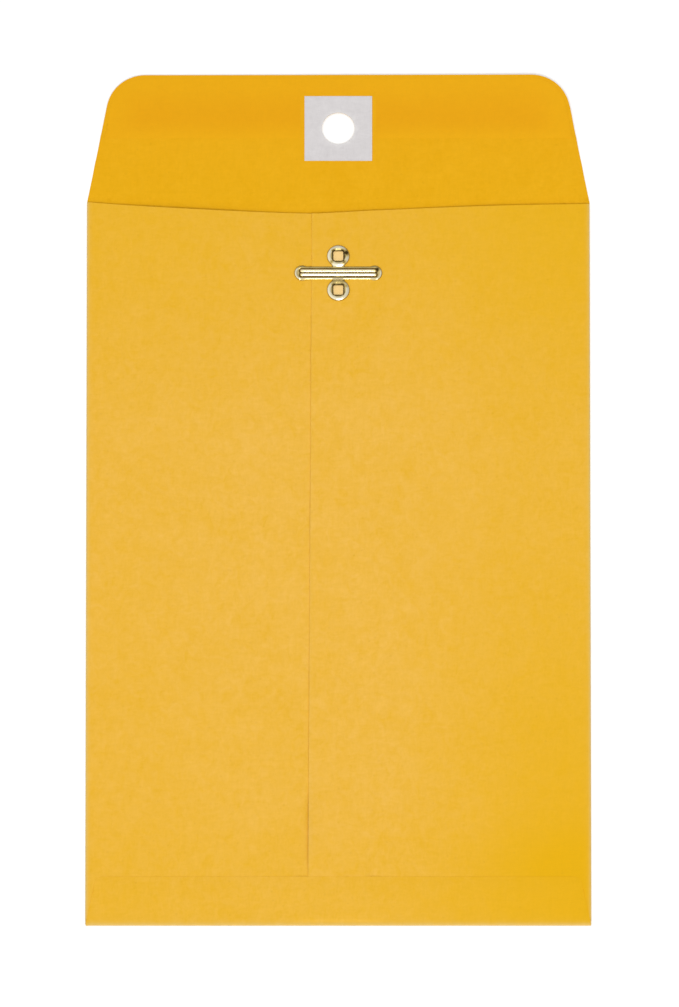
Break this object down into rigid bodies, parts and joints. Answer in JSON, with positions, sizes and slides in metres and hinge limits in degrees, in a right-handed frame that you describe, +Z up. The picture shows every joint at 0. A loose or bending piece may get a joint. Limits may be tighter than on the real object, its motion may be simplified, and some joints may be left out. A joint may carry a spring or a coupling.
{
  "type": "clasp envelope",
  "caption": "Open-end kraft paper envelope with a gummed seal flap, a patched eyelet and a metal clasp whose prongs bend up through the eyelet.",
  "frame": {"origin": "middle of the open envelope's footprint, on the table it lies on", "axes": "+X across the width, +Y from the bottom fold towards the seal flap, +Z up from the address side to the clasp side"},
  "size_m": [0.1524, 0.2692, 0.0018],
  "materials": {
    "kraft_outer": "smooth golden kraft paper, outer face",
    "kraft_inner": "golden kraft paper, deeper inner face",
    "glue": "dry glue line",
    "gum": "dry remoistenable gum with a faint sheen",
    "patch": "off-white reinforcing paper",
    "clasp_metal": "bright pale brass plating on sheet metal"
  },
  "bodies": {
    "envelope": {"front_panel": "kraft_inner", "left_fold": "kraft_outer", "right_fold": "kraft_outer", "bottom_fold": "kraft_outer", "left_back_panel": "kraft_outer", "right_back_panel": "kraft_outer", "bottom_flap": "kraft_outer", "seam_glue": "glue", "bottom_glue": "glue", "clasp_base": "clasp_metal"},
    "flap": {"seal_flap": "kraft_inner", "seal_gum": "gum", "eyelet_patch": "patch"},
    "left_prong": {"left_prong": "clasp_metal"},
    "right_prong": {"right_prong": "clasp_metal"}
  },
  "joints": [
    {"name": "flap_crease", "type": "hinge", "parent": "envelope", "child": "flap", "pos_m": [0, 0.094, 0.0006], "axis": [1, 0, 0], "range_deg": [0, 176]},
    {"name": "left_prong_bend", "type": "hinge", "parent": "envelope", "child": "left_prong", "pos_m": [-0.00198, 0.0714, 0.00184], "axis": [0, 1, 0], "range_deg": [0, 90]},
    {"name": "right_prong_bend", "type": "hinge", "parent": "envelope", "child": "right_prong", "pos_m": [0.00198, 0.0714, 0.00184], "axis": [0, -1, 0], "range_deg": [0, 90]}
  ]
}
